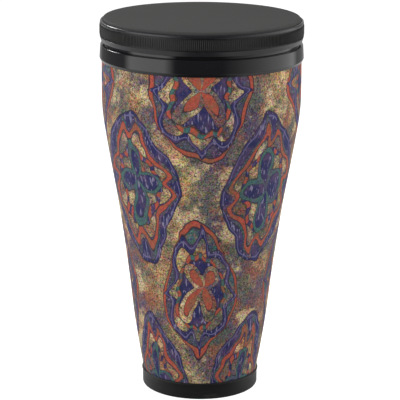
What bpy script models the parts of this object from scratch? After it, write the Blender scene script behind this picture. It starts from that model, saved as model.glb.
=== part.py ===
"""Tapered hand drum: a fabric-wrapped shell, and a pre-tuned head held by a quick-thread lock ring.

Blender 4.5, metres, +Z up. The origin is the centre of the foot ring's underside, and every piece is
turned about the Z axis, so heights below are heights above the floor and radii are from the drum's axis.
"""

import math

import bmesh
import bpy

# Driving dimensions
HEIGHT = 0.610  # playing surface
FACETS = 48  # flats around every turned piece
GAP = 0.0003  # between pieces that touch

# The wrapped shell's outline as height and radius, joined by a smooth curve
SHELL_STATIONS = (
    (0.000, 0.0880),
    (0.050, 0.0973),
    (0.110, 0.1070),
    (0.190, 0.1166),
    (0.290, 0.1304),
    (0.420, 0.1527),
    (0.445, 0.1566),
    (0.470, 0.1590),
    (0.500, 0.1595),
    (0.560, 0.1592),
)
SHELL_BOTTOM = 0.0053
SHELL_JOINT = 0.4400  # where the tapered tube meets the upright one
SHELL_TOP = 0.5600
SHELL_WALL = 0.0055
WRAP_THICKNESS = 0.0006
LONG_STEP = 0.050  # between rings of the shell where it is nearly straight
SHOULDER_STEP = 0.015  # and where it turns from the taper to the upright belly
SHOULDER = (0.415, 0.490)

# Foot ring
FOOT_RADIUS = 0.0946
FOOT_LIP_RADIUS = 0.0958
FOOT_HEIGHT = 0.0268
FOOT_SOLE = 0.0050
FOOT_INNER_RADIUS = 0.0796
FOOT_INNER_HEIGHT = 0.0165

# Collar
COLLAR_BOTTOM = 0.5415
COLLAR_TOP = 0.5676
COLLAR_RADIUS = 0.1626  # widest, near its lower edge
COLLAR_TOP_RADIUS = 0.1614
SPIGOT_INNER_RADIUS = 0.1490
SPIGOT_RADIUS = 0.1515
ADHESIVE_RADII = (0.1518, 0.1525)

# Threaded neck, which ends in the bearing edge
NECK_RADIUS = 0.1546
NECK_INNER_RADIUS = 0.1516
BEARING_EDGE = 0.6092
BEARING_ROUND = 0.0020

# Quick thread, right-handed: four starts, and nearly one turn lifts the head off
STARTS = 4
LEAD = 0.042  # rise in one turn
THREAD_CREST_RADIUS = 0.1572
THREAD_ROOT_RADIUS = 0.1541
THREAD_ROOT_THICKNESS = 0.0032
THREAD_CREST_THICKNESS = 0.0024
THREAD_SWEEP = math.radians(102.6)
THREAD_STEPS = 18
LUG_RADIUS = 0.1553
LUG_THICKNESS = 0.0040
LUG_SWEEP = math.radians(36.0)
LUG_STEPS = 6
LUG_HEIGHT = 0.5775  # a lug's middle
LUG_CLEARANCE = 0.0006
STOP_SWEEP = math.radians(3.4)
STOP_CLEARANCE = math.radians(0.3)
STOP_HEIGHTS = (0.5716, 0.5812)

# Head: film, channel hoop, bonding resin and slip washer
FILM_THICKNESS = 0.0005
FILM_FLAT_RADIUS = 0.1546
FILM_SKIRT_RADIUS = 0.1573
FILM_EDGE_HEIGHT = 0.5988
HOOP_RADII = (0.1552, 0.1590)
HOOP_HEIGHTS = (0.5946, 0.6024)
HOOP_WALL = 0.0007
RESIN_GAP = 0.0002
SLIP_RADII = (0.1579, 0.1590)
SLIP_THICKNESS = 0.0008

# Lock ring and its ribbed grip sleeve
RING_BOTTOM = 0.5732
RING_LIP_TOP = 0.5810
RING_LIP_RADII = (0.1600, 0.1621)
RING_SEAT_RADIUS = 0.1609
RING_BORE = 0.1579
RING_POCKET_RADIUS = 0.1597  # around the hoop
RING_POCKET_BOTTOM = 0.5938
RING_FLANGE_UNDERSIDE = 0.6038
RING_FLANGE_EDGE = 0.5992
RING_FLANGE_RADIUS = 0.1617
RING_TOP = 0.6057
SLEEVE_RADIUS = 0.1626
SLEEVE_HEIGHTS = (0.5813, 0.5988)


def arc(radius, height, size, start, end, steps=3):
    """Points of a rounding about (radius, height), from one angle to another in degrees, 0 outwards."""
    points = []
    for i in range(steps + 1):
        angle = math.radians(start + (end - start) * i / steps)
        points.append((radius + size * math.cos(angle), height + size * math.sin(angle)))
    return points


def shell_slope(i):
    """The outline's slope at a station, so that neighbouring stretches join smoothly."""
    if i == len(SHELL_STATIONS) - 1:
        return 0.0
    (z1, r1), (z2, r2) = SHELL_STATIONS[i : i + 2]
    above = (r2 - r1) / (z2 - z1)
    if i == 0:
        return above
    z0, r0 = SHELL_STATIONS[i - 1]
    below = (r1 - r0) / (z1 - z0)
    return (below * (z2 - z1) + above * (z1 - z0)) / (z2 - z0)


def wrap_radius(height):
    """The outer radius of the wrapped shell, on a cubic between the two nearest stations."""
    i = 0
    while i < len(SHELL_STATIONS) - 2 and SHELL_STATIONS[i + 1][0] <= height:
        i += 1
    (z0, r0), (z1, r1) = SHELL_STATIONS[i : i + 2]
    span = z1 - z0
    t = (height - z0) / span
    return (
        (1 + 2 * t) * (1 - t) ** 2 * r0
        + t * (1 - t) ** 2 * span * shell_slope(i)
        + t * t * (3 - 2 * t) * r1
        + t * t * (t - 1) * span * shell_slope(i + 1)
    )


def shell_heights(bottom, top):
    """Heights of the shell's rings, closer together where the outline turns."""
    heights = [bottom]
    while heights[-1] < top:
        turning = SHOULDER[0] <= heights[-1] < SHOULDER[1]
        step = SHOULDER_STEP if turning else LONG_STEP
        if heights[-1] < SHOULDER[0] < heights[-1] + step:
            step = SHOULDER[0] - heights[-1]
        heights.append(heights[-1] + step)
    heights[-1] = top
    if top - heights[-2] < SHOULDER_STEP:
        del heights[-2]
    return heights


def wall_outline(bottom, top, outside, thickness):
    """A wall that follows the shell, with its outer face the given distance inside the wrap's."""
    heights = shell_heights(bottom, top)
    outer = [(wrap_radius(z) - outside, z) for z in reversed(heights)]
    inner = [(wrap_radius(z) - outside - thickness, z) for z in heights]
    return outer + inner


def finish(name, colour, roughness, metallic=0.0):
    material = bpy.data.materials.new(name)
    material.use_nodes = True
    shader = material.node_tree.nodes["Principled BSDF"]
    shader.inputs["Base Color"].default_value = (*colour, 1.0)
    shader.inputs["Roughness"].default_value = roughness
    shader.inputs["Metallic"].default_value = metallic
    return material


def add_object(name, mesh, material=None, parent=None):
    piece = bpy.data.objects.new(name, mesh)
    bpy.context.collection.objects.link(piece)
    piece.parent = parent
    if material:
        mesh.materials.append(material)
    return piece


def turned(name, outline, material, parent=None, closed=True):
    """A piece turned about the Z axis. The outline, radius and height, runs down its outer side."""
    count = len(outline)
    edges = [(i, i + 1) for i in range(count - 1)]
    if closed:
        edges.append((count - 1, 0))
    mesh = bpy.data.meshes.new(name)
    mesh.from_pydata([(r, 0.0, z) for r, z in outline], edges, [])
    piece = add_object(name, mesh, material, parent)
    screw = piece.modifiers.new("turn", "SCREW")
    screw.axis = "Z"
    screw.angle = math.tau
    screw.steps = FACETS
    screw.render_steps = FACETS
    screw.use_merge_vertices = True
    screw.merge_threshold = 0.0001
    screw.use_smooth_shade = True
    return piece


def thread_height(angle):
    """How far the quick thread rises over an angle."""
    return LEAD * angle / math.tau


def sweep_along_thread(bm, section, start, sweep, steps):
    """A solid with the section, radius and height, that climbs with the thread from the start angle."""
    corners = [bm.verts.new((r * math.cos(start), r * math.sin(start), z)) for r, z in section]
    face = bm.faces.new(corners)
    bmesh.ops.spin(
        bm,
        geom=[face],
        cent=(0.0, 0.0, 0.0),
        axis=(0.0, 0.0, 1.0),
        dvec=(0.0, 0.0, thread_height(sweep) / steps),
        angle=sweep,
        steps=steps,
    )


def joined_on(piece, tool_name, bm):
    """Fuses the shapes in bm to a piece."""
    bmesh.ops.recalc_face_normals(bm, faces=bm.faces[:])
    mesh = bpy.data.meshes.new(tool_name)
    bm.to_mesh(mesh)
    bm.free()
    tool = add_object(tool_name, mesh)
    tool.hide_render = True
    tool.display_type = "WIRE"
    union = piece.modifiers.new(tool_name, "BOOLEAN")
    union.operation = "UNION"
    union.object = tool


def make_shell():
    """A wound cone with an upright crown bonded on its upper edge."""
    fibre = finish("wood fibre", (0.11, 0.07, 0.045), 0.8)
    outside = WRAP_THICKNESS + GAP
    turned("shell_cone", wall_outline(SHELL_BOTTOM, SHELL_JOINT - GAP, outside, SHELL_WALL), fibre)
    turned("shell_crown", wall_outline(SHELL_JOINT, SHELL_TOP, outside, SHELL_WALL), fibre)


def make_wrap():
    outline = wall_outline(FOOT_HEIGHT + GAP, SHELL_TOP, 0.0, WRAP_THICKNESS)
    turned("fabric_wrap", outline, finish("printed fabric", (0.25, 0.15, 0.12), 0.85))


def make_foot():
    """A rubber channel around the shell's lower edge, with a bead along its upper lip."""
    shell_outside = wrap_radius(SHELL_BOTTOM) - WRAP_THICKNESS
    lip_inside = wrap_radius(FOOT_HEIGHT) - WRAP_THICKNESS + GAP
    outline = [
        (FOOT_LIP_RADIUS - 0.0006, FOOT_HEIGHT),
        (FOOT_LIP_RADIUS, FOOT_HEIGHT - 0.0009),
        (FOOT_LIP_RADIUS - 0.0002, FOOT_HEIGHT - 0.0024),
        (FOOT_RADIUS, FOOT_HEIGHT - 0.0034),
        *arc(FOOT_RADIUS - 0.0036, 0.0034, 0.0034, 0, -90),
        *arc(FOOT_INNER_RADIUS + 0.0012, 0.0012, 0.0012, 270, 180, 2),
        (FOOT_INNER_RADIUS, FOOT_INNER_HEIGHT - 0.0010),
        (FOOT_INNER_RADIUS + 0.0010, FOOT_INNER_HEIGHT),
        (FOOT_INNER_RADIUS + 0.0026, FOOT_INNER_HEIGHT),
        (FOOT_INNER_RADIUS + 0.0026, FOOT_SOLE),
        (shell_outside + GAP, FOOT_SOLE),
        (lip_inside, FOOT_HEIGHT),
    ]
    turned("foot_ring", outline, finish("foot rubber", (0.012, 0.012, 0.012), 0.55))


def make_collar():
    """Seats on the shell's upper edge, skirts the wrap, and carries the threaded neck."""
    skirt_inside = wrap_radius(COLLAR_BOTTOM) + 2 * GAP
    outline = [
        (NECK_INNER_RADIUS + 0.0006, BEARING_EDGE),
        *arc(NECK_RADIUS - BEARING_ROUND, BEARING_EDGE - BEARING_ROUND, BEARING_ROUND, 80, 0),
        (NECK_RADIUS, COLLAR_TOP),
        *arc(COLLAR_TOP_RADIUS - 0.0014, COLLAR_TOP - 0.0014, 0.0014, 90, 10, 2),
        (COLLAR_RADIUS, COLLAR_BOTTOM + 0.0060),
        (COLLAR_RADIUS - 0.0004, COLLAR_BOTTOM + 0.0032),
        (COLLAR_RADIUS - 0.0014, COLLAR_BOTTOM + 0.0008),
        (COLLAR_RADIUS - 0.0022, COLLAR_BOTTOM),
        (skirt_inside, COLLAR_BOTTOM),
        (skirt_inside, SHELL_TOP + GAP),
        (SPIGOT_RADIUS, SHELL_TOP + GAP),
        (SPIGOT_RADIUS, COLLAR_BOTTOM),
        (SPIGOT_INNER_RADIUS, COLLAR_BOTTOM),
        (SPIGOT_INNER_RADIUS, SHELL_TOP + 0.0010),
        (NECK_INNER_RADIUS, COLLAR_TOP - 0.0020),
        (NECK_INNER_RADIUS, BEARING_EDGE - 0.0006),
    ]
    collar = turned("collar", outline, finish("gloss black plastic", (0.010, 0.010, 0.011), 0.18))

    root = THREAD_ROOT_THICKNESS / 2
    crest = THREAD_CREST_THICKNESS / 2
    first = -LUG_SWEEP / 2 + STOP_CLEARANCE
    above_lug = (LUG_THICKNESS + THREAD_ROOT_THICKNESS) / 2 + LUG_CLEARANCE
    middle = LUG_HEIGHT + above_lug + thread_height(first)
    section = [
        (THREAD_ROOT_RADIUS, middle - root),
        (THREAD_CREST_RADIUS, middle - crest),
        (THREAD_CREST_RADIUS, middle + crest),
        (THREAD_ROOT_RADIUS, middle + root),
    ]
    stop_section = [
        (THREAD_ROOT_RADIUS, STOP_HEIGHTS[0]),
        (THREAD_CREST_RADIUS - 0.0004, STOP_HEIGHTS[0] + 0.0008),
        (THREAD_CREST_RADIUS - 0.0004, STOP_HEIGHTS[1] - 0.0008),
        (THREAD_ROOT_RADIUS, STOP_HEIGHTS[1]),
    ]
    bm = bmesh.new()
    for start in range(STARTS):
        lug_angle = math.tau * start / STARTS
        sweep_along_thread(bm, section, lug_angle + first, THREAD_SWEEP, THREAD_STEPS)
        stop_angle = lug_angle - LUG_SWEEP / 2 - STOP_CLEARANCE - STOP_SWEEP
        sweep_along_thread(bm, stop_section, stop_angle, STOP_SWEEP, 1)
    joined_on(collar, "collar_thread", bm)


def make_collar_adhesive():
    """The cured bead between the collar's spigot and the inside of the shell."""
    low = COLLAR_BOTTOM + 0.0015
    high = SHELL_TOP - 0.0010
    inner, outer = ADHESIVE_RADII
    outline = [(outer, high), (outer, low), (inner, low), (inner, high)]
    turned("collar_adhesive", outline, finish("cured adhesive", (0.55, 0.42, 0.22), 0.5))


def make_film(parent):
    """The playing surface, drawn over the bearing edge and down into the hoop."""
    bend = FILM_SKIRT_RADIUS - FILM_FLAT_RADIUS
    thin = bend - FILM_THICKNESS
    low = HEIGHT - 0.0040
    outline = [
        (0.0, HEIGHT),
        (FILM_FLAT_RADIUS, HEIGHT),
        (FILM_FLAT_RADIUS + 0.48 * bend, HEIGHT - 0.0004),
        (FILM_FLAT_RADIUS + 0.82 * bend, HEIGHT - 0.0016),
        (FILM_SKIRT_RADIUS, low),
        (FILM_SKIRT_RADIUS, FILM_EDGE_HEIGHT),
        (FILM_SKIRT_RADIUS - FILM_THICKNESS, FILM_EDGE_HEIGHT),
        (FILM_SKIRT_RADIUS - FILM_THICKNESS, low),
        (FILM_FLAT_RADIUS + 0.82 * thin, HEIGHT - 0.0019),
        (FILM_FLAT_RADIUS + 0.48 * thin, HEIGHT - 0.0009),
        (FILM_FLAT_RADIUS, HEIGHT - FILM_THICKNESS),
        (0.0, HEIGHT - FILM_THICKNESS),
    ]
    film = finish("black film", (0.08, 0.08, 0.078), 0.45)
    turned("head_film", outline, film, parent, closed=False)


def make_hoop(parent):
    """An aluminium channel, open at the top, that holds the film's edge."""
    inner, outer = HOOP_RADII
    low, high = HOOP_HEIGHTS
    outline = [
        (outer, high),
        (outer, low),
        (inner, low),
        (inner, high),
        (inner + HOOP_WALL, high),
        (inner + HOOP_WALL, low + 0.0010),
        (outer - HOOP_WALL, low + 0.0010),
        (outer - HOOP_WALL, high),
    ]
    turned("head_hoop", outline, finish("aluminium", (0.75, 0.76, 0.78), 0.35, 1.0), parent)


def make_resin(parent):
    """Fills the hoop on both sides of the film's edge."""
    inner = HOOP_RADII[0] + HOOP_WALL + RESIN_GAP
    outer = HOOP_RADII[1] - HOOP_WALL - RESIN_GAP
    low = HOOP_HEIGHTS[0] + 0.0010 + GAP
    high = HOOP_HEIGHTS[1] - 0.0006
    slot_inner = FILM_SKIRT_RADIUS - FILM_THICKNESS - RESIN_GAP
    slot_outer = FILM_SKIRT_RADIUS + RESIN_GAP
    outline = [
        (outer, high),
        (outer, low),
        (inner, low),
        (inner, high),
        (slot_inner, high),
        (slot_inner, FILM_EDGE_HEIGHT - GAP),
        (slot_outer, FILM_EDGE_HEIGHT - GAP),
        (slot_outer, high),
    ]
    turned("hoop_resin", outline, finish("clear resin", (0.70, 0.62, 0.42), 0.3), parent)


def make_slip_washer(parent):
    """Lets the lock ring turn on the hoop without dragging the head round."""
    low = HOOP_HEIGHTS[1] + GAP
    high = low + SLIP_THICKNESS
    inner, outer = SLIP_RADII
    outline = [(outer, high), (outer, low), (inner, low), (inner, high)]
    turned("slip_washer", outline, finish("white nylon", (0.80, 0.80, 0.78), 0.45), parent)


def make_lock_ring(parent):
    """Presses on the hoop from above, and has four lugs that run under the neck's thread."""
    outline = [
        (RING_BORE, RING_TOP - 0.0008),
        (RING_BORE + 0.0006, RING_TOP),
        (RING_BORE + 0.0014, RING_TOP),
        (RING_BORE + 0.0026, RING_TOP - 0.0012),
        (RING_FLANGE_RADIUS - 0.0004, RING_TOP - 0.0032),
        (RING_FLANGE_RADIUS, RING_FLANGE_EDGE),
        (RING_SEAT_RADIUS, RING_FLANGE_EDGE),
        (RING_SEAT_RADIUS, RING_LIP_TOP),
        (RING_LIP_RADII[1], RING_LIP_TOP),
        (RING_LIP_RADII[0], RING_BOTTOM + 0.0005),
        (RING_LIP_RADII[0] - 0.0005, RING_BOTTOM),
        (RING_BORE, RING_BOTTOM),
        (RING_BORE, RING_POCKET_BOTTOM),
        (RING_POCKET_RADIUS, RING_POCKET_BOTTOM),
        (RING_POCKET_RADIUS, RING_FLANGE_UNDERSIDE),
        (RING_BORE, RING_FLANGE_UNDERSIDE),
    ]
    ring = turned("lock_ring", outline, finish("black nylon", (0.014, 0.014, 0.015), 0.25), parent)

    half = LUG_THICKNESS / 2
    middle = LUG_HEIGHT - thread_height(LUG_SWEEP / 2)
    inside_wall = RING_BORE + 0.0008
    section = [
        (LUG_RADIUS, middle - half + 0.0004),
        (inside_wall, middle - half),
        (inside_wall, middle + half),
        (LUG_RADIUS, middle + half - 0.0004),
    ]
    bm = bmesh.new()
    for start in range(STARTS):
        angle = math.tau * start / STARTS - LUG_SWEEP / 2
        sweep_along_thread(bm, section, angle, LUG_SWEEP, LUG_STEPS)
    joined_on(ring, "lock_ring_lugs", bm)


def make_grip_sleeve(parent):
    """The rubber band, ribbed on the real drum, that is moulded onto the lock ring."""
    low, high = SLEEVE_HEIGHTS
    inner = RING_SEAT_RADIUS + GAP
    outline = [
        (SLEEVE_RADIUS - 0.0008, high),
        (SLEEVE_RADIUS - 0.0001, high - 0.0010),
        (SLEEVE_RADIUS, (low + high) / 2),
        (SLEEVE_RADIUS - 0.0001, low + 0.0010),
        (SLEEVE_RADIUS - 0.0006, low),
        (inner, low),
        (inner, high),
    ]
    turned("grip_sleeve", outline, finish("grip rubber", (0.022, 0.022, 0.021), 0.7), parent)


def main():
    for old in list(bpy.data.objects):
        bpy.data.objects.remove(old, do_unlink=True)
    make_shell()
    make_wrap()
    make_foot()
    make_collar()
    make_collar_adhesive()
    head_lift = add_object("head_lift", None)
    make_film(head_lift)
    make_hoop(head_lift)
    make_resin(head_lift)
    make_slip_washer(head_lift)
    ring_turn = add_object("ring_turn", None, parent=head_lift)
    make_lock_ring(ring_turn)
    make_grip_sleeve(ring_turn)


main()
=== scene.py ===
"""Finishes the tapered hand drum: fine turned surfaces, grip ribs, a printed wrap, and a studio.

Metres, +Z up, the drum's axis on Z and the floor at zero. An outline is a list of radius and height.
"""

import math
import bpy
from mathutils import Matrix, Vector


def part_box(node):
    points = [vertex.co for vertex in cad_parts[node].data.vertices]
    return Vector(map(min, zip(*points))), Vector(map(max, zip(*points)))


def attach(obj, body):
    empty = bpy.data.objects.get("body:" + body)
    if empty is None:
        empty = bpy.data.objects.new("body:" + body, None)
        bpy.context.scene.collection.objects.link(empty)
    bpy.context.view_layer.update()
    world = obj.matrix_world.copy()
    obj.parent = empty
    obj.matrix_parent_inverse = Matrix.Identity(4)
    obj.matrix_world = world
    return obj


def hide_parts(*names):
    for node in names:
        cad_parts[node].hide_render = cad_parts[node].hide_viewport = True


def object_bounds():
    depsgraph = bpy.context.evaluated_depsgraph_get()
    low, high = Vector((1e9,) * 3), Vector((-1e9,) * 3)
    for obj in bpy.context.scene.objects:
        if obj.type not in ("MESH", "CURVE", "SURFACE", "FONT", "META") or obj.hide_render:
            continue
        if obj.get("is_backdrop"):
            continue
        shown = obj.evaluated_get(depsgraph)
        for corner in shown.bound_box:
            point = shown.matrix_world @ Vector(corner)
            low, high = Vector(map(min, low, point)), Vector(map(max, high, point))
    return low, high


bl_info = {
    "name": "Tapered hand drum",
    "version": (1, 0, 0),
    "blender": (4, 5, 0),
    "location": "3D View > Sidebar > Hand drum",
    "description": "Builds the finished surfaces of a tapered hand drum around its solids",
    "category": "Object",
}

import bmesh
import bpy
from mathutils import Matrix, Vector

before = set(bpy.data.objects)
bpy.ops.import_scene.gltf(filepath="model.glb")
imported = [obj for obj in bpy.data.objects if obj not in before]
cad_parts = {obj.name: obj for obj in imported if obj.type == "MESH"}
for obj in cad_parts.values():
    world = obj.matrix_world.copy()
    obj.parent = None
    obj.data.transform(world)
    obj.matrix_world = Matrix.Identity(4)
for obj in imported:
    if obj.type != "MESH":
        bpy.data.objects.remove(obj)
CAD_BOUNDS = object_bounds()

# The shell's outline over the wrap, as height and radius
SHELL_STATIONS = (
    (0.000, 0.0880),
    (0.050, 0.0973),
    (0.110, 0.1070),
    (0.190, 0.1166),
    (0.290, 0.1304),
    (0.420, 0.1527),
    (0.445, 0.1566),
    (0.470, 0.1590),
    (0.500, 0.1595),
    (0.560, 0.1592),
)
SHELL_NODES = ("shell_cone", "shell_crown")
SHELL_WALL = 0.0055
WRAP_THICKNESS = 0.0006
WRAP_GIRTH = math.tau * 0.130  # halfway up
GAP = 0.0003  # between pieces that are bonded or touch
ROUND = 192  # flats round a turned surface
SMOOTH_ANGLE = math.radians(38)

# The neck, whose top is the bearing edge, and its quick thread
NECK = 0.1546
NECK_BORE = 0.1516
THREAD_CREST = 0.1572
THREAD_SWEEP = math.radians(102.6)
STARTS = 4
LEAD = 0.042
LUG_HEIGHT = 0.5775  # the middle of the lock ring's lugs when closed
LUG_SWEEP = math.radians(36.0)
RIDGE_ABOVE_LUG = 0.0042  # half a lug, half a ridge and the clearance

# The ribbed band goes a little higher than its solid
GRIP_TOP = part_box("grip_sleeve")[1][2] + 0.0020

# The camera, fitted to the drum's ellipses in the picture
CAMERA_PLACE = (-0.0013, -2.992, 1.083)
CAMERA_TILT = math.radians(90 - 14.5)
CAMERA_ROLL = math.radians(0.34)
CAMERA_LENS = 36.0 * 1902 / 400

# The world's strength for rays that are neither the camera's nor glossy, and the floor's lift to white
AMBIENT = 0.45
FLOOR_GLOW = 0.76


def low(node):
    """A node's lowest height."""
    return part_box(node)[0][2]


def high(node):
    """A node's highest height."""
    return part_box(node)[1][2]


def reach(node):
    """A turned node's outer radius."""
    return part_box(node)[1][0]


class DrumSizes(bpy.types.PropertyGroup):
    """Sizes and counts that a user may change."""

    rib_count: bpy.props.IntProperty(
        name="Grip ribs",
        description="Ribs round the grip sleeve",
        default=330,
        min=60,
    )
    rib_radius: bpy.props.FloatProperty(
        name="Rib radius",
        description="Half a rib's width",
        default=0.0009,
        unit="LENGTH",
        precision=5,
    )
    lap: bpy.props.FloatProperty(
        name="Wrap lap",
        description="Width of the wrap's overlap at the back, halfway up",
        default=0.011,
        min=0.004,
        unit="LENGTH",
    )
    motifs_round: bpy.props.IntProperty(
        name="Motifs round",
        description="Repeats of the print round the shell",
        default=4,
        min=1,
    )
    motifs_up: bpy.props.FloatProperty(
        name="Motifs up",
        description="Repeats of the print up the shell",
        default=1.6,
        min=0.5,
    )
    first_motif: bpy.props.FloatProperty(
        name="First motif",
        description="Share of the wrap's height below the front's first medallion",
        default=0.30,
        subtype="FACTOR",
        min=0.0,
        max=1.0,
    )
    thread_weave: bpy.props.FloatProperty(
        name="Thread pitch",
        description="Distance between the wrap's threads",
        default=0.0008,
        unit="LENGTH",
        precision=5,
    )


class DrumColours(bpy.types.PropertyGroup):
    """Colours that a user may change."""

    ground: bpy.props.FloatVectorProperty(
        name="Gold ground",
        description="The print's main ground",
        subtype="COLOR",
        size=3,
        default=(0.44, 0.285, 0.135),
    )
    slate: bpy.props.FloatVectorProperty(
        name="Slate",
        description="The field just inside a medallion's border",
        subtype="COLOR",
        size=3,
        default=(0.052, 0.060, 0.084),
    )
    navy: bpy.props.FloatVectorProperty(
        name="Navy",
        description="The print's dark fields",
        subtype="COLOR",
        size=3,
        default=(0.019, 0.021, 0.092),
    )
    red: bpy.props.FloatVectorProperty(
        name="Brick red",
        description="The print's bands",
        subtype="COLOR",
        size=3,
        default=(0.36, 0.074, 0.046),
    )
    teal: bpy.props.FloatVectorProperty(
        name="Teal",
        description="The print's petals",
        subtype="COLOR",
        size=3,
        default=(0.05, 0.12, 0.11),
    )
    lilac: bpy.props.FloatVectorProperty(
        name="Lilac",
        description="The print's flecks",
        subtype="COLOR",
        size=3,
        default=(0.36, 0.33, 0.46),
    )
    pale_line: bpy.props.FloatVectorProperty(
        name="Pale line",
        description="The thin line within a navy band",
        subtype="COLOR",
        size=3,
        default=(0.15, 0.13, 0.27),
    )
    outline: bpy.props.FloatVectorProperty(
        name="Outline",
        description="The print's dark outlines",
        subtype="COLOR",
        size=3,
        default=(0.018, 0.014, 0.028),
    )
    film: bpy.props.FloatVectorProperty(
        name="Film",
        description="The playing surface",
        subtype="COLOR",
        size=3,
        default=(0.044, 0.044, 0.043),
    )
    gloss: bpy.props.FloatVectorProperty(
        name="Gloss black",
        description="The collar, and the lock ring a little paler",
        subtype="COLOR",
        size=3,
        default=(0.006, 0.006, 0.007),
    )


def sizes():
    return bpy.context.scene.drum_sizes


def colours():
    return bpy.context.scene.drum_colours


# Outlines


def arc(radius, height, size, start, end, steps=8):
    """Points of a rounding about (radius, height), from one angle to another in degrees, 0 outwards."""
    points = []
    for i in range(steps + 1):
        angle = math.radians(start + (end - start) * i / steps)
        points.append((radius + size * math.cos(angle), height + size * math.sin(angle)))
    return points


def shell_slope(i):
    """How fast the wrapped shell widens at a station."""
    if i == len(SHELL_STATIONS) - 1:
        return 0.0
    (z1, r1), (z2, r2) = SHELL_STATIONS[i : i + 2]
    above = (r2 - r1) / (z2 - z1)
    if i == 0:
        return above
    z0, r0 = SHELL_STATIONS[i - 1]
    below = (r1 - r0) / (z1 - z0)
    return (below * (z2 - z1) + above * (z1 - z0)) / (z2 - z0)


def wrap_radius(height):
    """The outer radius of the wrapped shell, on a cubic between the two nearest stations."""
    i = 0
    while i < len(SHELL_STATIONS) - 2 and SHELL_STATIONS[i + 1][0] <= height:
        i += 1
    (z0, r0), (z1, r1) = SHELL_STATIONS[i : i + 2]
    span = z1 - z0
    t = (height - z0) / span
    return (
        (1 + 2 * t) * (1 - t) ** 2 * r0
        + t * (1 - t) ** 2 * span * shell_slope(i)
        + t * t * (3 - 2 * t) * r1
        + t * t * (t - 1) * span * shell_slope(i + 1)
    )


def heights_between(bottom, top, count):
    """Even steps from bottom to top, both included."""
    return [bottom + (top - bottom) * i / count for i in range(count + 1)]


# Meshes


def add_piece(name, mesh, material, slot, body, *stands_for):
    """Puts a finished piece in the scene, on its body and in the place of its nodes."""
    piece = bpy.data.objects.new(name, mesh)
    bpy.context.collection.objects.link(piece)
    mesh.materials.clear()
    mesh.materials.append(material)
    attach(piece, body)
    if stands_for:
        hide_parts(*stands_for)
    return piece


def smooth(mesh):
    """Smooth shading that keeps the edges sharper than SMOOTH_ANGLE."""
    mesh.shade_smooth()
    mesh.set_sharp_from_angle(angle=SMOOTH_ANGLE)


def turn_into(bm, outline, closed=True, around=ROUND):
    """Adds the surface that the outline sweeps about the Z axis."""
    rings = []
    for i in range(around):
        angle = math.tau * i / around
        c, s = math.cos(angle), math.sin(angle)
        rings.append([bm.verts.new((r * c, r * s, z)) for r, z in outline])
    last = len(outline) if closed else len(outline) - 1
    for i in range(around):
        here, there = rings[i], rings[(i + 1) % around]
        for j in range(last):
            k = (j + 1) % len(outline)
            bm.faces.new((here[j], there[j], there[k], here[k]))


def mesh_of(name, bm):
    """The closed shapes in bm as a mesh with their faces outwards."""
    bmesh.ops.remove_doubles(bm, verts=bm.verts[:], dist=1e-6)
    bmesh.ops.recalc_face_normals(bm, faces=bm.faces[:])
    mesh = bpy.data.meshes.new(name)
    bm.to_mesh(mesh)
    bm.free()
    smooth(mesh)
    return mesh


def turned(name, outline, closed=True):
    """A turned piece's mesh."""
    bm = bmesh.new()
    turn_into(bm, outline, closed)
    return mesh_of(name, bm)


def section_about(middle, lower_half):
    """A bar's section about a height, from its lower half's radii and distances to that height."""
    below = [(r, middle - z) for r, z in lower_half]
    return below + [(r, middle + z) for r, z in reversed(lower_half)]


def sweep_along_thread(bm, section, start, sweep, steps):
    """A closed bar with the section, radius and height, that climbs with the thread."""
    rings = []
    for i in range(steps + 1):
        angle = start + sweep * i / steps
        rise = LEAD * sweep * i / steps / math.tau
        c, s = math.cos(angle), math.sin(angle)
        rings.append([bm.verts.new((r * c, r * s, z + rise)) for r, z in section])
    count = len(section)
    for here, there in zip(rings, rings[1:]):
        for j in range(count):
            k = (j + 1) % count
            bm.faces.new((here[j], there[j], there[k], here[k]))
    bm.faces.new(rings[0])
    bm.faces.new(rings[-1])


# Materials


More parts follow.
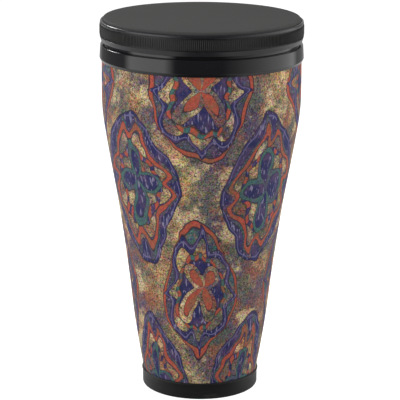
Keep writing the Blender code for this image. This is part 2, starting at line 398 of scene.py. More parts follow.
class Graph:
    """One material, and short calls that add and link its nodes."""

    def __init__(self, name):
        self.material = bpy.data.materials.new(name)
        self.material.use_nodes = True
        self.tree = self.material.node_tree
        self.shader = self.tree.nodes["Principled BSDF"]

    def put(self, socket, value):
        if isinstance(value, bpy.types.NodeSocket):
            self.tree.links.new(value, socket)
        elif hasattr(value, "__len__") and len(value) == 3 and socket.type == "RGBA":
            socket.default_value = (*value, 1.0)
        else:
            socket.default_value = value

    def surface(self, **values):
        for name, value in values.items():
            self.put(self.shader.inputs[name.replace("_", " ")], value)

    def coordinates(self, output="Object"):
        return self.tree.nodes.new("ShaderNodeTexCoord").outputs[output]

    def scaled(self, vector, scale, location=(0, 0, 0)):
        node = self.tree.nodes.new("ShaderNodeMapping")
        self.put(node.inputs["Vector"], vector)
        node.inputs["Scale"].default_value = scale
        node.inputs["Location"].default_value = location
        return node.outputs[0]

    def maths(self, operation, a, b=0.0, c=0.0):
        node = self.tree.nodes.new("ShaderNodeMath")
        node.operation = operation
        self.put(node.inputs[0], a)
        self.put(node.inputs[1], b)
        self.put(node.inputs[2], c)
        return node.outputs[0]

    def blend(self, factor, a, b, kind="MIX"):
        node = self.tree.nodes.new("ShaderNodeMix")
        node.data_type = "RGBA"
        node.blend_type = kind
        self.put(node.inputs[0], factor)
        self.put(node.inputs[6], a)
        self.put(node.inputs[7], b)
        return node.outputs[2]

    def noise(self, vector, scale, detail=2.0, roughness=0.5):
        node = self.tree.nodes.new("ShaderNodeTexNoise")
        self.put(node.inputs["Vector"], vector)
        node.inputs["Scale"].default_value = scale
        node.inputs["Detail"].default_value = detail
        node.inputs["Roughness"].default_value = roughness
        return node.outputs[0]

    def cells(self, vector, scale):
        """A chance colour for each small cell."""
        node = self.tree.nodes.new("ShaderNodeTexVoronoi")
        self.put(node.inputs["Vector"], vector)
        node.inputs["Scale"].default_value = scale
        return node.outputs["Color"]

    def remap(self, value, old, new):
        """Carries the old range of the value to the new one, clamped."""
        node = self.tree.nodes.new("ShaderNodeMapRange")
        self.put(node.inputs["Value"], value)
        for name, number in zip(("From Min", "From Max", "To Min", "To Max"), (*old, *new)):
            node.inputs[name].default_value = number
        return node.outputs[0]

    def step(self, value, edge, width):
        """0 below the edge and 1 above it, softened over the width."""
        return self.remap(value, (edge - width / 2, edge + width / 2), (0.0, 1.0))

    def bump(self, height, strength, distance):
        node = self.tree.nodes.new("ShaderNodeBump")
        node.inputs["Strength"].default_value = strength
        node.inputs["Distance"].default_value = distance
        self.put(node.inputs["Height"], height)
        self.put(self.shader.inputs["Normal"], node.outputs[0])


def gloss_plastic(name, colour, roughness):
    """Moulded black plastic with a faint flow in its gloss."""
    g = Graph(name)
    place = g.coordinates()
    cloud = g.noise(place, 18.0, 3.0)
    g.surface(Base_Color=g.blend(cloud, colour, [1.5 * c + 0.001 for c in colour]))
    g.surface(Roughness=g.maths("MULTIPLY_ADD", cloud, 0.08, roughness - 0.04))
    g.bump(g.noise(place, 60.0, 2.0), 0.05, 0.0004)
    return g.material


def grip_rubber():
    """Matte rubber, with painted shade between its ribs and a patchy painted sheen on their crests."""
    g = Graph("grip rubber")
    place = g.coordinates()
    grain = g.noise(place, 900.0, 2.0)
    flat = g.tree.nodes.new("ShaderNodeVectorMath")
    flat.operation = "LENGTH"
    g.put(flat.inputs[0], g.scaled(place, (1, 1, 0)))
    # Painted shade and sheen: near black at the rib roots, paler towards the crests, the sheen weaker
    # in patches
    crest = g.step(flat.outputs["Value"], reach("grip_sleeve") - 0.0006, 0.0008)
    crest = g.maths("MULTIPLY", crest, g.remap(g.noise(place, 30.0, 4.0), (0.35, 0.65), (0.5, 1.0)))
    g.surface(Base_Color=g.blend(crest, (0.001, 0.001, 0.001), (0.013, 0.013, 0.012)))
    g.surface(Roughness=g.maths("MULTIPLY_ADD", grain, 0.15, 0.32))
    g.bump(grain, 0.25, 0.0002)
    return g.material


def foot_rubber():
    """Satin rubber, a little scuffed."""
    g = Graph("foot rubber")
    place = g.coordinates()
    grain = g.noise(place, 500.0, 3.0)
    scuff = g.step(g.noise(g.scaled(place, (1, 1, 4)), 30.0, 6.0, 0.7), 0.62, 0.10)
    g.surface(Base_Color=g.blend(scuff, (0.012, 0.012, 0.012), (0.021, 0.021, 0.020)))
    g.surface(Roughness=g.maths("MULTIPLY_ADD", scuff, 0.2, 0.36))
    g.shader.inputs["Specular IOR Level"].default_value = 0.35
    g.bump(grain, 0.2, 0.0003)
    return g.material


def film_material():
    """Satin polyester film with a fine pebble, duller where hands play it."""
    g = Graph("head film")
    place = g.coordinates()
    pebble = g.noise(place, 700.0, 2.0)
    cloud = g.noise(place, 9.0, 4.0)
    dark = [0.86 * c for c in colours().film]
    g.surface(Base_Color=g.blend(cloud, dark, [1.14 * c for c in colours().film]))
    g.surface(Roughness=g.maths("MULTIPLY_ADD", cloud, 0.10, 0.66))
    g.shader.inputs["Specular IOR Level"].default_value = 0.10
    g.bump(pebble, 0.30, 0.0003)
    return g.material


def shell_fibre():
    """Wound wood fibre, with faint bands round the tube and a fibrous grain."""
    g = Graph("shell fibre")
    place = g.coordinates()
    fibre = g.noise(g.scaled(place, (40, 40, 260)), 3.0, 5.0, 0.65)
    bands = g.noise(g.scaled(place, (0, 0, 60)), 1.0, 2.0)
    tone = g.blend(fibre, (0.050, 0.030, 0.018), (0.16, 0.10, 0.060))
    g.surface(Base_Color=g.blend(g.maths("MULTIPLY", bands, 0.5), tone, (0.07, 0.045, 0.03)))
    g.surface(Roughness=0.82)
    g.bump(fibre, 0.4, 0.0004)
    return g.material


def plain_finish(name, colour, roughness, metallic=0.0, scale=120.0):
    """A small hidden piece's finish, with slight variation."""
    g = Graph(name)
    cloud = g.noise(g.coordinates(), scale, 3.0)
    g.surface(Base_Color=g.blend(cloud, [0.8 * c for c in colour], colour))
    g.surface(Roughness=g.maths("MULTIPLY_ADD", cloud, 0.15, roughness - 0.07), Metallic=metallic)
    g.bump(cloud, 0.1, 0.0002)
    return g.material


def printed_fabric():
    """Petalled medallions in a diamond lattice, speckled and clouded, on a plain weave.

    The UV map runs round the shell in turns and up it from 0 to 1.
    """
    g = Graph("printed fabric")
    c = colours()
    split = g.tree.nodes.new("ShaderNodeSeparateXYZ")
    g.put(split.inputs[0], g.coordinates("UV"))
    place = g.coordinates()
    turns, rise = split.outputs[0], split.outputs[1]

    def wander(offset, scale, size):
        """A slow shift of the pattern, so that no medallion is quite regular."""
        cloud = g.noise(g.scaled(place, (1, 1, 1), offset), scale, 2.0, 0.4)
        return g.maths("MULTIPLY", g.maths("SUBTRACT", cloud, 0.5), size)

    rows = g.maths("SUBTRACT", rise, sizes().first_motif)
    turn_sideways, turn_up = math.tau * sizes().motifs_round, math.tau * sizes().motifs_up
    across = g.maths("MULTIPLY_ADD", turns, turn_sideways, wander((0, 0, 0), 13.0, 1.3))
    upward = g.maths("MULTIPLY_ADD", rows, turn_up, wander((3, 1, 7), 13.0, 1.3))
    lattice = g.maths("ADD", g.maths("COSINE", across), g.maths("COSINE", upward))
    angle = g.maths("ARCTAN2", g.maths("SINE", upward), g.maths("SINE", across))

    def waves(count):
        """Petals round each medallion's middle."""
        return g.maths("COSINE", g.maths("MULTIPLY", angle, float(count)))

    scallop = g.maths("MULTIPLY_ADD", waves(12), 0.05, lattice)
    flower = g.maths("MULTIPLY_ADD", waves(4), -0.30, lattice)
    spears = g.maths("MULTIPLY_ADD", waves(8), 0.24, lattice)

    # Inks, each speckled with chance hues and clouded with others
    grain = g.remap(g.noise(place, 420.0, 3.0, 0.6), (0.36, 0.62), (0.02, 0.95))
    speckle = g.blend(0.58, g.cells(place, 340.0), grain)

    def ink(colour, mottle, *clouds):
        """A cloud is its offset, scale, edge, width, tint and weight."""
        base = g.blend(mottle, colour, speckle, "OVERLAY")
        for offset, scale, edge, width, tint, weight in clouds:
            cloud = g.noise(g.scaled(place, (1, 1, 1), offset), scale, 5.0, 0.62)
            tint = g.blend(mottle, tint, speckle, "OVERLAY")
            base = g.blend(g.maths("MULTIPLY", g.step(cloud, edge, width), weight), base, tint)
        return base

    gold = ink(
        c.ground,
        0.88,
        ((9, 0, 1), 9.0, 0.50, 0.10, (0.080, 0.096, 0.120), 0.80),
        ((1, 0, 0), 22.0, 0.52, 0.16, (0.075, 0.088, 0.075), 0.80),
        ((3, 2, 0), 17.0, 0.56, 0.12, (0.085, 0.055, 0.120), 0.75),
        ((0, 2, 0), 30.0, 0.56, 0.12, (0.30, 0.10, 0.05), 0.70),
        ((6, 2, 5), 26.0, 0.57, 0.10, (0.70, 0.52, 0.28), 0.70),
        ((0, 0, 4), 420.0, 0.56, 0.06, (0.030, 0.024, 0.026), 0.85),
    )
    slate = ink(
        c.slate,
        0.85,
        ((5, 0, 0), 20.0, 0.52, 0.12, (0.095, 0.045, 0.110), 0.80),
        ((0, 6, 0), 28.0, 0.57, 0.10, c.teal, 0.80),
        ((0, 0, 8), 34.0, 0.60, 0.10, (0.26, 0.15, 0.08), 0.70),
        ((2, 7, 0), 260.0, 0.62, 0.08, c.lilac, 0.45),
    )
    navy = ink(c.navy, 0.35, ((7, 0, 0), 40.0, 0.53, 0.14, (0.085, 0.050, 0.120), 0.75))
    fleck = g.noise(g.scaled(place, (300, 300, 60), (1, 5, 2)), 1.0, 2.0)
    navy = g.blend(g.maths("MULTIPLY", g.step(fleck, 0.62, 0.06), 0.55), navy, c.lilac)
    red = ink(c.red, 0.45, ((0, 3, 3), 30.0, 0.56, 0.12, (0.20, 0.10, 0.055), 0.7))
    teal = ink(c.teal, 0.55, ((3, 3, 0), 50.0, 0.55, 0.10, (0.09, 0.07, 0.13), 0.7))

    def band(base, field, start, end, colour, line=0.03):
        """Lays the colour where the field is between start and end, with dark outlines."""
        for low_edge, high_edge, paint in ((start - line, end + line, c.outline), (start, end, colour)):
            over = g.step(field, low_edge, 0.03)
            under = g.step(g.maths("MULTIPLY", field, -1.0), -high_edge, 0.03)
            base = g.blend(g.maths("MULTIPLY", over, under), base, paint)
        return base

    def alternate(count, one, other):
        """Two colours by turns along a band."""
        return g.blend(g.step(waves(count), 0.0, 0.25), one, other)

    # Two kinds of medallion on the gold ground
    paint = band(gold, lattice, 0.42, 3.0, slate)
    paint = band(paint, lattice, 0.42, 0.54, red)
    paint = band(paint, spears, 0.70, 3.0, navy)
    paint = band(paint, spears, 0.78, 0.82, c.pale_line, 0.0)
    paint = band(paint, spears, 0.98, 3.0, gold)
    paint = band(paint, scallop, 1.22, 1.36, alternate(16, red, teal))
    paint = band(paint, scallop, 1.42, 3.0, navy)
    paint = band(paint, flower, 1.60, 3.0, gold)
    paint = band(paint, flower, 1.88, 3.0, red)
    paint = band(paint, lattice, -3.0, -0.36, navy)
    paint = band(paint, lattice, -0.48, -0.44, c.pale_line, 0.0)
    paint = band(paint, spears, -3.0, -0.66, slate)
    paint = band(paint, spears, -1.06, -0.84, red)
    paint = band(paint, spears, -3.0, -1.16, gold)
    paint = band(paint, scallop, -1.56, -1.40, alternate(20, red, navy))
    paint = band(paint, flower, -3.0, -1.60, teal)
    paint = band(paint, flower, -3.0, -1.82, navy)

    # Ink that took unevenly, then the weave
    wear = g.step(g.noise(place, 120.0, 5.0, 0.7), 0.55, 0.30)
    paint = g.blend(g.maths("MULTIPLY", wear, 0.12), paint, (0.13, 0.11, 0.095))
    tall = high("fabric_wrap") - low("fabric_wrap")
    warp = g.maths("SINE", g.maths("MULTIPLY", turns, math.tau * WRAP_GIRTH / sizes().thread_weave))
    weft = g.maths("SINE", g.maths("MULTIPLY", rise, math.tau * tall / sizes().thread_weave))
    g.surface(Base_Color=paint)
    g.shader.inputs["Roughness"].default_value = 0.80
    g.shader.inputs["Specular IOR Level"].default_value = 0.20
    g.shader.inputs["Sheen Weight"].default_value = 0.06
    g.bump(g.maths("MULTIPLY", warp, weft), 0.30, 0.0003)
    return g.material


# Pieces


class DRUM_OT_shell(bpy.types.Operator):
    """The wood-fibre tube."""

    bl_idname = "drum.shell"
    bl_label = "Shell"

    def execute(self, context):
        heights = heights_between(low("shell_cone"), high("shell_crown"), 60)
        inset = WRAP_THICKNESS + GAP
        outer = [(wrap_radius(z) - inset, z) for z in reversed(heights)]
        inner = [(wrap_radius(z) - inset - SHELL_WALL, z) for z in heights]
        mesh = turned("shell_tube", outer + inner)
        add_piece("shell_tube", mesh, shell_fibre(), "shell_fibre", "drum_body", *SHELL_NODES)
        return {"FINISHED"}


class DRUM_OT_wrap(bpy.types.Operator):
    """The printed fabric, lapped over itself at the back."""

    bl_idname = "drum.wrap"
    bl_label = "Printed wrap"

    def execute(self, context):
        around, up = 288, 100  # steps round the shell and up it
        lap_steps = round(around * sizes().lap / WRAP_GIRTH)
        heights = heights_between(low("fabric_wrap"), high("fabric_wrap"), up)
        bm = bmesh.new()
        uv = bm.loops.layers.uv.new("wrap")
        columns = []
        for i in range(around + lap_steps + 1):
            turn = i / around
            angle = math.pi / 2 + math.tau * turn
            lifted = WRAP_THICKNESS * min(max(i - around + lap_steps, 0) / lap_steps, 1.0)
            column = []
            for z in heights:
                r = wrap_radius(z) + 1.05 * lifted
                outer = bm.verts.new((r * math.cos(angle), r * math.sin(angle), z))
                r -= WRAP_THICKNESS
                inner = bm.verts.new((r * math.cos(angle), r * math.sin(angle), z))
                column.append((outer, inner))
            columns.append(column)

        def face(corners, places):
            made = bm.faces.new(corners)
            for loop, (i, j) in zip(made.loops, places):
                loop[uv].uv = (i / around, j / up)

        last = len(columns) - 1
        for i in range(last):
            for j in range(up):
                places = [(i, j), (i + 1, j), (i + 1, j + 1), (i, j + 1)]
                face([columns[a][b][0] for a, b in places], places)
                face([columns[a][b][1] for a, b in reversed(places)], places[::-1])
            for j in (0, up):
                corners = [*columns[i][j], *reversed(columns[i + 1][j])]
                face(corners, [(i, j), (i, j), (i + 1, j), (i + 1, j)])
        for i in (0, last):
            for j in range(up):
                (outer, inner), (outer_above, inner_above) = columns[i][j], columns[i][j + 1]
                corners = [outer, outer_above, inner_above, inner]
                face(corners, [(i, j), (i, j + 1), (i, j + 1), (i, j)])
        mesh = mesh_of("printed_wrap", bm)
        fabric = printed_fabric()
        piece = add_piece("printed_wrap", mesh, fabric, "printed_fabric", "drum_body", "fabric_wrap")
        return {"FINISHED"}


class DRUM_OT_foot(bpy.types.Operator):
    """The rubber foot ring with its bead."""

    bl_idname = "drum.foot"
    bl_label = "Foot ring"

    def execute(self, context):
        top = high("foot_ring")
        bead = reach("foot_ring")
        wall = bead - 0.0012
        hub = 0.0796
        inner_top = 0.0165
        sole = 0.0050
        outline = [
            *arc(bead - 0.0013, top - 0.0013, 0.0013, 90, -70, 8),
            (wall + 0.0003, top - 0.0031),
            (wall, top - 0.0038),
            (wall - 0.0001, 0.0150),
            *arc(wall - 0.0036, 0.0034, 0.0034, 0, -90, 8),
            *arc(hub + 0.0012, 0.0012, 0.0012, 270, 180, 5),
            *arc(hub + 0.0010, inner_top - 0.0010, 0.0010, 180, 90, 5),
            (hub + 0.0026, inner_top),
            (hub + 0.0026, sole),
            (wrap_radius(0.0053) - WRAP_THICKNESS + GAP, sole),
            (wrap_radius(top) - WRAP_THICKNESS + GAP, top),
        ]
        mesh = turned("foot_moulding", outline)
        add_piece("foot_moulding", mesh, foot_rubber(), "foot_rubber", "drum_body", "foot_ring")
        return {"FINISHED"}


class DRUM_OT_collar(bpy.types.Operator):
    """The gloss collar with its threaded neck and bearing edge."""

    bl_idname = "drum.collar"
    bl_label = "Collar"

    def execute(self, context):
        bottom, edge, widest = low("collar"), high("collar"), reach("collar")
        shoulder = 0.5676
        spigot, spigot_bore = 0.1515, 0.1490
        shell_top = high("shell_crown")
        skirt = wrap_radius(bottom) + 2 * GAP
        outline = [
            *arc(NECK - 0.0020, edge - 0.0020, 0.0020, 90, 0),
            (NECK, shoulder + 0.0004),
            (NECK + 0.0004, shoulder),
            *arc(widest - 0.0026, shoulder - 0.0014, 0.0014, 90, 5),
            (widest, bottom + 0.0062),
            *arc(widest - 0.0022, bottom + 0.0052, 0.0022, 0, -38, 5),
            *arc(widest - 0.0030, bottom + 0.0012, 0.0012, -20, -90, 4),
            (skirt, bottom),
            (skirt, shell_top + GAP),
            (spigot, shell_top + GAP),
            (spigot, bottom),
            (spigot_bore, bottom),
            (spigot_bore, shell_top + 0.0010),
            (NECK_BORE, shoulder - 0.0020),
            (NECK_BORE, edge - 0.0008),
            (NECK_BORE + 0.0006, edge),
        ]
        bm = bmesh.new()
        turn_into(bm, outline)

        # Thread ridges just over the lugs' closed places, and an upright stop before each
        root = NECK - 0.0004
        first = -LUG_SWEEP / 2 + math.radians(0.3)
        middle = LUG_HEIGHT + RIDGE_ABOVE_LUG + LEAD * first / math.tau
        ridge = [(root, 0.0016), (THREAD_CREST - 0.0002, 0.0012), (THREAD_CREST, 0.0010)]
        ridge = section_about(middle, ridge)
        stop = [(root, 0.0048), (THREAD_CREST - 0.0004, 0.0040)]
        stop = section_about(LUG_HEIGHT - 0.0011, stop)
        for start in range(STARTS):
            lug = math.tau * start / STARTS
            sweep_along_thread(bm, ridge, lug + first, THREAD_SWEEP, 60)
            sweep_along_thread(bm, stop, lug - LUG_SWEEP / 2 - math.radians(3.7), math.radians(3.4), 3)
        mesh = mesh_of("collar_moulding", bm)
        material = gloss_plastic("gloss black plastic", colours().gloss, 0.11)
        add_piece("collar_moulding", mesh, material, "collar_plastic", "drum_body", "collar")
        return {"FINISHED"}


class DRUM_OT_head(bpy.types.Operator):
    """The playing surface, and the finishes of the small hidden pieces."""

    bl_idname = "drum.head"
    bl_label = "Head"

    def execute(self, context):
        top, edge, skirt = high("head_film"), low("head_film"), reach("head_film")
        thick = 0.0005
        bend, drop = skirt - NECK, 0.0040

        def over_edge(radius, height):
            """The quarter round over the bearing edge."""
            angles = [math.radians(9 * k) for k in range(11)]
            return [(radius + bend * math.sin(a), height - drop * (1 - math.cos(a))) for a in angles]

        outer = [(NECK * k / 6, top) for k in range(6)] + over_edge(NECK, top) + [(skirt, edge)]
        inner = [(0.0, top - thick)] + over_edge(NECK - thick, top - thick) + [(skirt - thick, edge)]
        mesh = turned("playing_surface", outer + inner[::-1], closed=False)
        add_piece("playing_surface", mesh, film_material(), "head_film", "head", "head_film")
        finishes = {
            "head_hoop": plain_finish("hoop aluminium", (0.72, 0.73, 0.75), 0.34, 1.0),
            "hoop_resin": plain_finish("hoop resin", (0.60, 0.50, 0.30), 0.30),
            "slip_washer": plain_finish("washer nylon", (0.78, 0.78, 0.75), 0.45),
            "collar_adhesive": plain_finish("adhesive", (0.50, 0.38, 0.20), 0.50),
        }
        for node, material in finishes.items():
            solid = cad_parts[node]
            solid.data.materials.clear()
            solid.data.materials.append(material)
        return {"FINISHED"}


class DRUM_OT_ring(bpy.types.Operator):
    """The lock ring with its rounded top edge, smooth lip and lugs."""

    bl_idname = "drum.ring"
    bl_label = "Lock ring"

    def execute(self, context):
        bottom, top = low("lock_ring"), high("lock_ring")
        bore, seat, wall = 0.1579, 0.1609, 0.1617
        lip, lip_toe, lip_top = 0.1621, 0.1601, 0.5810
        groove, groove_low, groove_high = 0.1597, 0.5938, 0.6038  # the hoop sits in it
        outline = [
            *arc(bore + 0.0009, top - 0.0009, 0.0009, 180, 90, 5),
            *arc(bore + 0.0012, top - 0.0026, 0.0026, 86, 2, 9),
            (wall, GRIP_TOP + 0.0004),
            (wall - 0.0003, GRIP_TOP),
            (seat, GRIP_TOP),
            (seat, lip_top),
            (lip - 0.0002, lip_top),
            (lip, lip_top - 0.0003),
            (lip_toe, bottom + 0.0008),
            (lip_toe - 0.0002, bottom + 0.0002),
            (lip_toe - 0.0006, bottom),
            (bore, bottom),
            (bore, groove_low),
            (groove, groove_low),
            (groove, groove_high),
            (bore, groove_high),
        ]
        bm = bmesh.new()
        turn_into(bm, outline)
        tip, root = 0.1553, bore + 0.0006
        middle = LUG_HEIGHT - LEAD * LUG_SWEEP / 2 / math.tau
        lug = section_about(middle, [(root, 0.0020), (tip + 0.0002, 0.0016), (tip, 0.0013)])
        for start in range(STARTS):
            sweep_along_thread(bm, lug, math.tau * start / STARTS - LUG_SWEEP / 2, LUG_SWEEP, 20)
        mesh = mesh_of("ring_moulding", bm)
        material = gloss_plastic("satin black plastic", [1.6 * v for v in colours().gloss], 0.24)
        add_piece("ring_moulding", mesh, material, "ring_plastic", "lock_ring", "lock_ring")
        return {"FINISHED"}


def rib_tree(material):
    """Geometry Nodes that stand ribs round a band."""
    tree = bpy.data.node_groups.new("grip ribs", "GeometryNodeTree")
    make = tree.interface.new_socket
    make(name="Geometry", in_out="OUTPUT", socket_type="NodeSocketGeometry")
    make(name="Count", in_out="INPUT", socket_type="NodeSocketInt")
    for name in ("Rib Radius", "Band Radius", "Low", "High"):
        make(name=name, in_out="INPUT", socket_type="NodeSocketFloat")
    nodes, link = tree.nodes, tree.links.new
    given = nodes.new("NodeGroupInput").outputs
    result = nodes.new("NodeGroupOutput")

    # One rib: an upright bar whose ends are drawn in
    ends = []
    for name in ("Low", "High"):
        end = nodes.new("ShaderNodeCombineXYZ")
        link(given[name], end.inputs["Z"])
        ends.append(end)
    line = nodes.new("GeometryNodeCurvePrimitiveLine")
    link(ends[0].outputs[0], line.inputs["Start"])
    link(ends[1].outputs[0], line.inputs["End"])
    points = nodes.new("GeometryNodeResampleCurve")
    points.inputs["Count"].default_value = 7
    link(line.outputs[0], points.inputs["Curve"])
    along = nodes.new("GeometryNodeSplineParameter")

    def maths(operation, a, b, c=0.0):
        node = nodes.new("ShaderNodeMath")
        node.operation = operation
        for socket, value in zip(node.inputs, (a, b, c)):
            if isinstance(value, bpy.types.NodeSocket):
                link(value, socket)
            else:
                socket.default_value = value
        return node.outputs[0]

    centred = maths("MULTIPLY_ADD", along.outputs["Factor"], 2.0, -1.0)
    ending = maths("POWER", maths("MULTIPLY", centred, centred), 4.0)
    width = maths("MULTIPLY_ADD", ending, -0.6, 1.0)
    bar = nodes.new("GeometryNodeCurveToMesh")
    link(points.outputs[0], bar.inputs["Curve"])
    link(width, bar.inputs["Scale"])
    section = nodes.new("GeometryNodeCurvePrimitiveCircle")
    section.inputs["Resolution"].default_value = 8
    link(given["Rib Radius"], section.inputs["Radius"])
    link(section.outputs[0], bar.inputs["Profile Curve"])
    bar.inputs["Fill Caps"].default_value = True

    # Its copies
    ring = nodes.new("GeometryNodeMeshCircle")
    link(given["Count"], ring.inputs["Vertices"])
    link(given["Band Radius"], ring.inputs["Radius"])
    copies = nodes.new("GeometryNodeInstanceOnPoints")
    link(ring.outputs[0], copies.inputs["Points"])
    link(bar.outputs[0], copies.inputs["Instance"])
    real = nodes.new("GeometryNodeRealizeInstances")
    link(copies.outputs[0], real.inputs[0])
    painted = nodes.new("GeometryNodeSetMaterial")
    painted.inputs["Material"].default_value = material
    link(real.outputs[0], painted.inputs[0])
    link(painted.outputs[0], result.inputs[0])
    return tree


def set_input(modifier, name, value):
    """Sets the input that has the name, through its socket's identifier."""
    for item in modifier.node_group.interface.items_tree:
        if item.in_out == "INPUT" and item.name == name:
            modifier[item.identifier] = value
            return
    raise RuntimeError(f"the node tree has no input named {name}")


class DRUM_OT_grip(bpy.types.Operator):
    """The rubber sleeve and its ribs."""

    bl_idname = "drum.grip"
    bl_label = "Grip sleeve"

    def execute(self, context):
        bottom, top = low("grip_sleeve"), GRIP_TOP
        crest, bore = reach("grip_sleeve"), 0.1612
        radius = sizes().rib_radius
        base = crest - 1.3 * radius
        ease = 0.0006  # the band's rounded edges
        rubber = grip_rubber()
        outline = [
            *arc(base - ease, top - ease, ease, 90, 0, 4),
            *arc(base - ease, bottom + ease, ease, 0, -90, 4),
            (bore, bottom),
            (bore, top),
        ]
        band = turned("grip_band", outline)
        add_piece("grip_band", band, rubber, "grip_rubber", "lock_ring", "grip_sleeve")

        carrier = bpy.data.objects.new("rib_carrier", bpy.data.meshes.new("rib_carrier"))
        bpy.context.collection.objects.link(carrier)
        modifier = carrier.modifiers.new("ribs", "NODES")
        modifier.node_group = rib_tree(rubber)
        set_input(modifier, "Count", sizes().rib_count)
        set_input(modifier, "Rib Radius", radius)
        set_input(modifier, "Band Radius", crest - radius)
        set_input(modifier, "Low", bottom + ease)
        set_input(modifier, "High", top - ease)
        carrier.update_tag()
        context.view_layer.update()
        evaluated = carrier.evaluated_get(context.evaluated_depsgraph_get())
        mesh = bpy.data.meshes.new_from_object(evaluated)
        bpy.data.objects.remove(carrier)
        if not mesh.polygons:
            raise RuntimeError("the node tree made no ribs")
        mesh.name = "grip_ribs"
        smooth(mesh)
        add_piece("grip_ribs", mesh, rubber, "grip_rubber", "lock_ring")
        return {"FINISHED"}


# Studio


def area_light(name, place, target, size, power, shows=False):
    """A softbox. Unless it shows, glossy surfaces see the world's softboxes in its stead."""
    lamp = bpy.data.lights.new(name, "AREA")
    lamp.shape = "RECTANGLE"
    lamp.size, lamp.size_y = size
    lamp.energy = power
    light = bpy.data.objects.new(name, lamp)
    bpy.context.collection.objects.link(light)
    light.visible_glossy = shows
    light.location = place
    light.rotation_euler = (Vector(target) - Vector(place)).to_track_quat("-Z", "Y").to_euler()


# Radiance round the studio at table height, by azimuth in degrees: 0 before the drum, 90 to its right
STUDIO = (
    (-180, 0.50),
    (-162, 0.50),
    (-150, 0.20),
    (-96, 0.20),
    (-86, 2.00),
    (-42, 2.00),
    (-30, 0.05),
    (24, 0.05),
    (50, 0.60),
    (84, 1.30),
    (122, 1.60),
    (134, 0.35),
    (152, 0.30),
    (166, 0.50),
    (180, 0.50),
)


def make_world():
    """White to the camera. Glossy surfaces see a dark room in front, softboxes and a white wall."""
    world = bpy.data.worlds.new("studio")
    bpy.context.scene.world = world
    world.use_nodes = True
    nodes, link = world.node_tree.nodes, world.node_tree.links.new

    def node(kind, **values):
        made = nodes.new("ShaderNode" + kind)
        for name, value in values.items():
            setattr(made, name, value)
        return made

    path, direction, split = node("LightPath"), node("TexCoord"), node("SeparateXYZ")
    link(direction.outputs["Generated"], split.inputs[0])
    forward = node("Math", operation="MULTIPLY")
    link(split.outputs["Y"], forward.inputs[0])
    forward.inputs[1].default_value = -1.0
    azimuth = node("Math", operation="ARCTAN2")
    link(split.outputs["X"], azimuth.inputs[0])
    link(forward.outputs[0], azimuth.inputs[1])
    along = node("Math", operation="MULTIPLY_ADD")
    link(azimuth.outputs[0], along.inputs[0])
    along.inputs[1].default_value = 1 / math.tau
    along.inputs[2].default_value = 0.5
    ramp = node("ValToRGB")
    link(along.outputs[0], ramp.inputs[0])
    elements = ramp.color_ramp.elements
    while len(elements) < len(STUDIO):
        elements.new(1.0)
    for element, (degrees, radiance) in zip(elements, STUDIO):
        element.position = degrees / 360 + 0.5
        element.color = (radiance / 2, radiance / 2, radiance / 2, 1.0)
    height = node("MapRange")
    link(split.outputs["Z"], height.inputs["Value"])
    for name, value in (("From Min", 0.55), ("From Max", 0.85), ("To Min", 2.0), ("To Max", 0.25)):
        height.inputs[name].default_value = value
    glossy = node("Math", operation="MULTIPLY")
    link(ramp.outputs[0], glossy.inputs[0])
    link(height.outputs[0], glossy.inputs[1])
    seen = node("Mix")
    link(path.outputs["Is Glossy Ray"], seen.inputs[0])
    seen.inputs[2].default_value = AMBIENT
    link(glossy.outputs[0], seen.inputs[3])
    strength = node("Mix")
    link(path.outputs["Is Camera Ray"], strength.inputs[0])
    link(seen.outputs[0], strength.inputs[2])
    strength.inputs[3].default_value = 1.0
    link(strength.outputs[0], nodes["Background"].inputs["Strength"])
    nodes["Background"].inputs["Color"].default_value = (1, 1, 1, 1)


def floor_material():
    """White to the camera, with the drum's shadow. Glossy surfaces see it dark before the drum."""
    g = Graph("floor paper")
    nodes, link = g.tree.nodes, g.tree.links.new
    path = nodes.new("ShaderNodeLightPath")
    split = nodes.new("ShaderNodeSeparateXYZ")
    link(g.coordinates(), split.inputs[0])
    before = g.step(g.maths("MULTIPLY", split.outputs["Y"], -1.0), 0.08, 0.06)
    aside = g.step(g.maths("ABSOLUTE", split.outputs["X"]), 0.30, 0.20)
    dark = g.maths("MULTIPLY", g.maths("SUBTRACT", 1.0, aside), before)
    dark = g.maths("MULTIPLY", dark, path.outputs["Is Glossy Ray"])
    g.surface(Base_Color=g.blend(dark, (0.55, 0.55, 0.55), (0.03, 0.03, 0.03)), Roughness=0.9)
    g.shader.inputs["Specular IOR Level"].default_value = 0.0
    g.surface(Emission_Color=(1.0, 1.0, 1.0))
    g.surface(Emission_Strength=g.maths("MULTIPLY", path.outputs["Is Camera Ray"], FLOOR_GLOW))

    # Seen from below, it isn't there
    side = nodes.new("ShaderNodeNewGeometry")
    clear = nodes.new("ShaderNodeBsdfTransparent")
    faced = nodes.new("ShaderNodeMixShader")
    link(side.outputs["Backfacing"], faced.inputs[0])
    link(g.shader.outputs[0], faced.inputs[1])
    link(clear.outputs[0], faced.inputs[2])
    link(faced.outputs[0], nodes["Material Output"].inputs["Surface"])
    return g.material


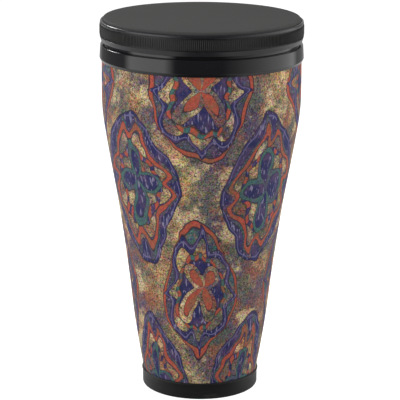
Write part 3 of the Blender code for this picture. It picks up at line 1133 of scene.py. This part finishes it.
class DRUM_OT_stage(bpy.types.Operator):
    """The camera, the floor and the lights."""

    bl_idname = "drum.stage"
    bl_label = "Stage"

    def execute(self, context):
        scene = context.scene
        scene.view_settings.view_transform = "Standard"
        camera = bpy.data.objects.new("camera", bpy.data.cameras.new("camera"))
        context.collection.objects.link(camera)
        camera.data.sensor_width = 36.0
        camera.data.lens = CAMERA_LENS
        camera.data.clip_end = 50.0
        tilt = Matrix.Rotation(CAMERA_TILT, 4, "X")
        roll = Matrix.Rotation(CAMERA_ROLL, 4, "Z")
        camera.matrix_world = Matrix.Translation(CAMERA_PLACE) @ tilt @ roll
        scene.camera = camera

        bm = bmesh.new()
        corners = [(-1.7, -1.2, 0.0), (1.7, -1.2, 0.0), (1.7, 7.0, 0.0), (-1.7, 7.0, 0.0)]
        bm.faces.new([bm.verts.new(corner) for corner in corners])
        mesh = bpy.data.meshes.new("floor")
        bm.to_mesh(mesh)
        bm.free()
        mesh.materials.append(floor_material())
        floor = bpy.data.objects.new("floor", mesh)
        context.collection.objects.link(floor)
        floor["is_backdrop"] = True

        area_light("left softbox", (-2.2, -1.5, 1.3), (0, 0, 0.4), (1.5, 2.0), 46)
        area_light("right softbox", (2.6, 0.1, 1.3), (0, 0, 0.4), (2.2, 2.0), 56)
        area_light("top softbox", (0.0, -0.8, 3.0), (0, 0, 0.3), (2.0, 2.0), 34)
        area_light("rim light", (-1.7, 1.6, 1.75), (0, 0, 0.55), (0.7, 0.7), 28, shows=True)
        make_world()
        return {"FINISHED"}


class DRUM_PT_panel(bpy.types.Panel):
    """Lists the drum's pieces, sizes and colours."""

    bl_label = "Hand drum"
    bl_space_type = "VIEW_3D"
    bl_region_type = "UI"
    bl_category = "Hand drum"

    def draw(self, context):
        for operator in OPERATORS:
            self.layout.operator(operator.bl_idname)
        for group in (sizes(), colours()):
            box = self.layout.box()
            for name in type(group).__annotations__:
                box.prop(group, name)


OPERATORS = (
    DRUM_OT_stage,
    DRUM_OT_shell,
    DRUM_OT_wrap,
    DRUM_OT_foot,
    DRUM_OT_collar,
    DRUM_OT_head,
    DRUM_OT_ring,
    DRUM_OT_grip,
)
CLASSES = (DrumSizes, DrumColours, *OPERATORS, DRUM_PT_panel)


def register():
    for cls in CLASSES:
        bpy.utils.register_class(cls)
    bpy.types.Scene.drum_sizes = bpy.props.PointerProperty(type=DrumSizes)
    bpy.types.Scene.drum_colours = bpy.props.PointerProperty(type=DrumColours)


def unregister():
    del bpy.types.Scene.drum_colours
    del bpy.types.Scene.drum_sizes
    for cls in reversed(CLASSES):
        bpy.utils.unregister_class(cls)


def main():
    register()
    bpy.ops.drum.stage()
    bpy.ops.drum.shell()
    bpy.ops.drum.wrap()
    bpy.ops.drum.foot()
    bpy.ops.drum.collar()
    bpy.ops.drum.head()
    bpy.ops.drum.ring()
    bpy.ops.drum.grip()
    boxes = {"cad": CAD_BOUNDS, "visual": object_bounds()}
    boxes = {name: [[float(x) for x in corner] for corner in box] for name, box in boxes.items()}


if __name__ == "__main__":
    main()
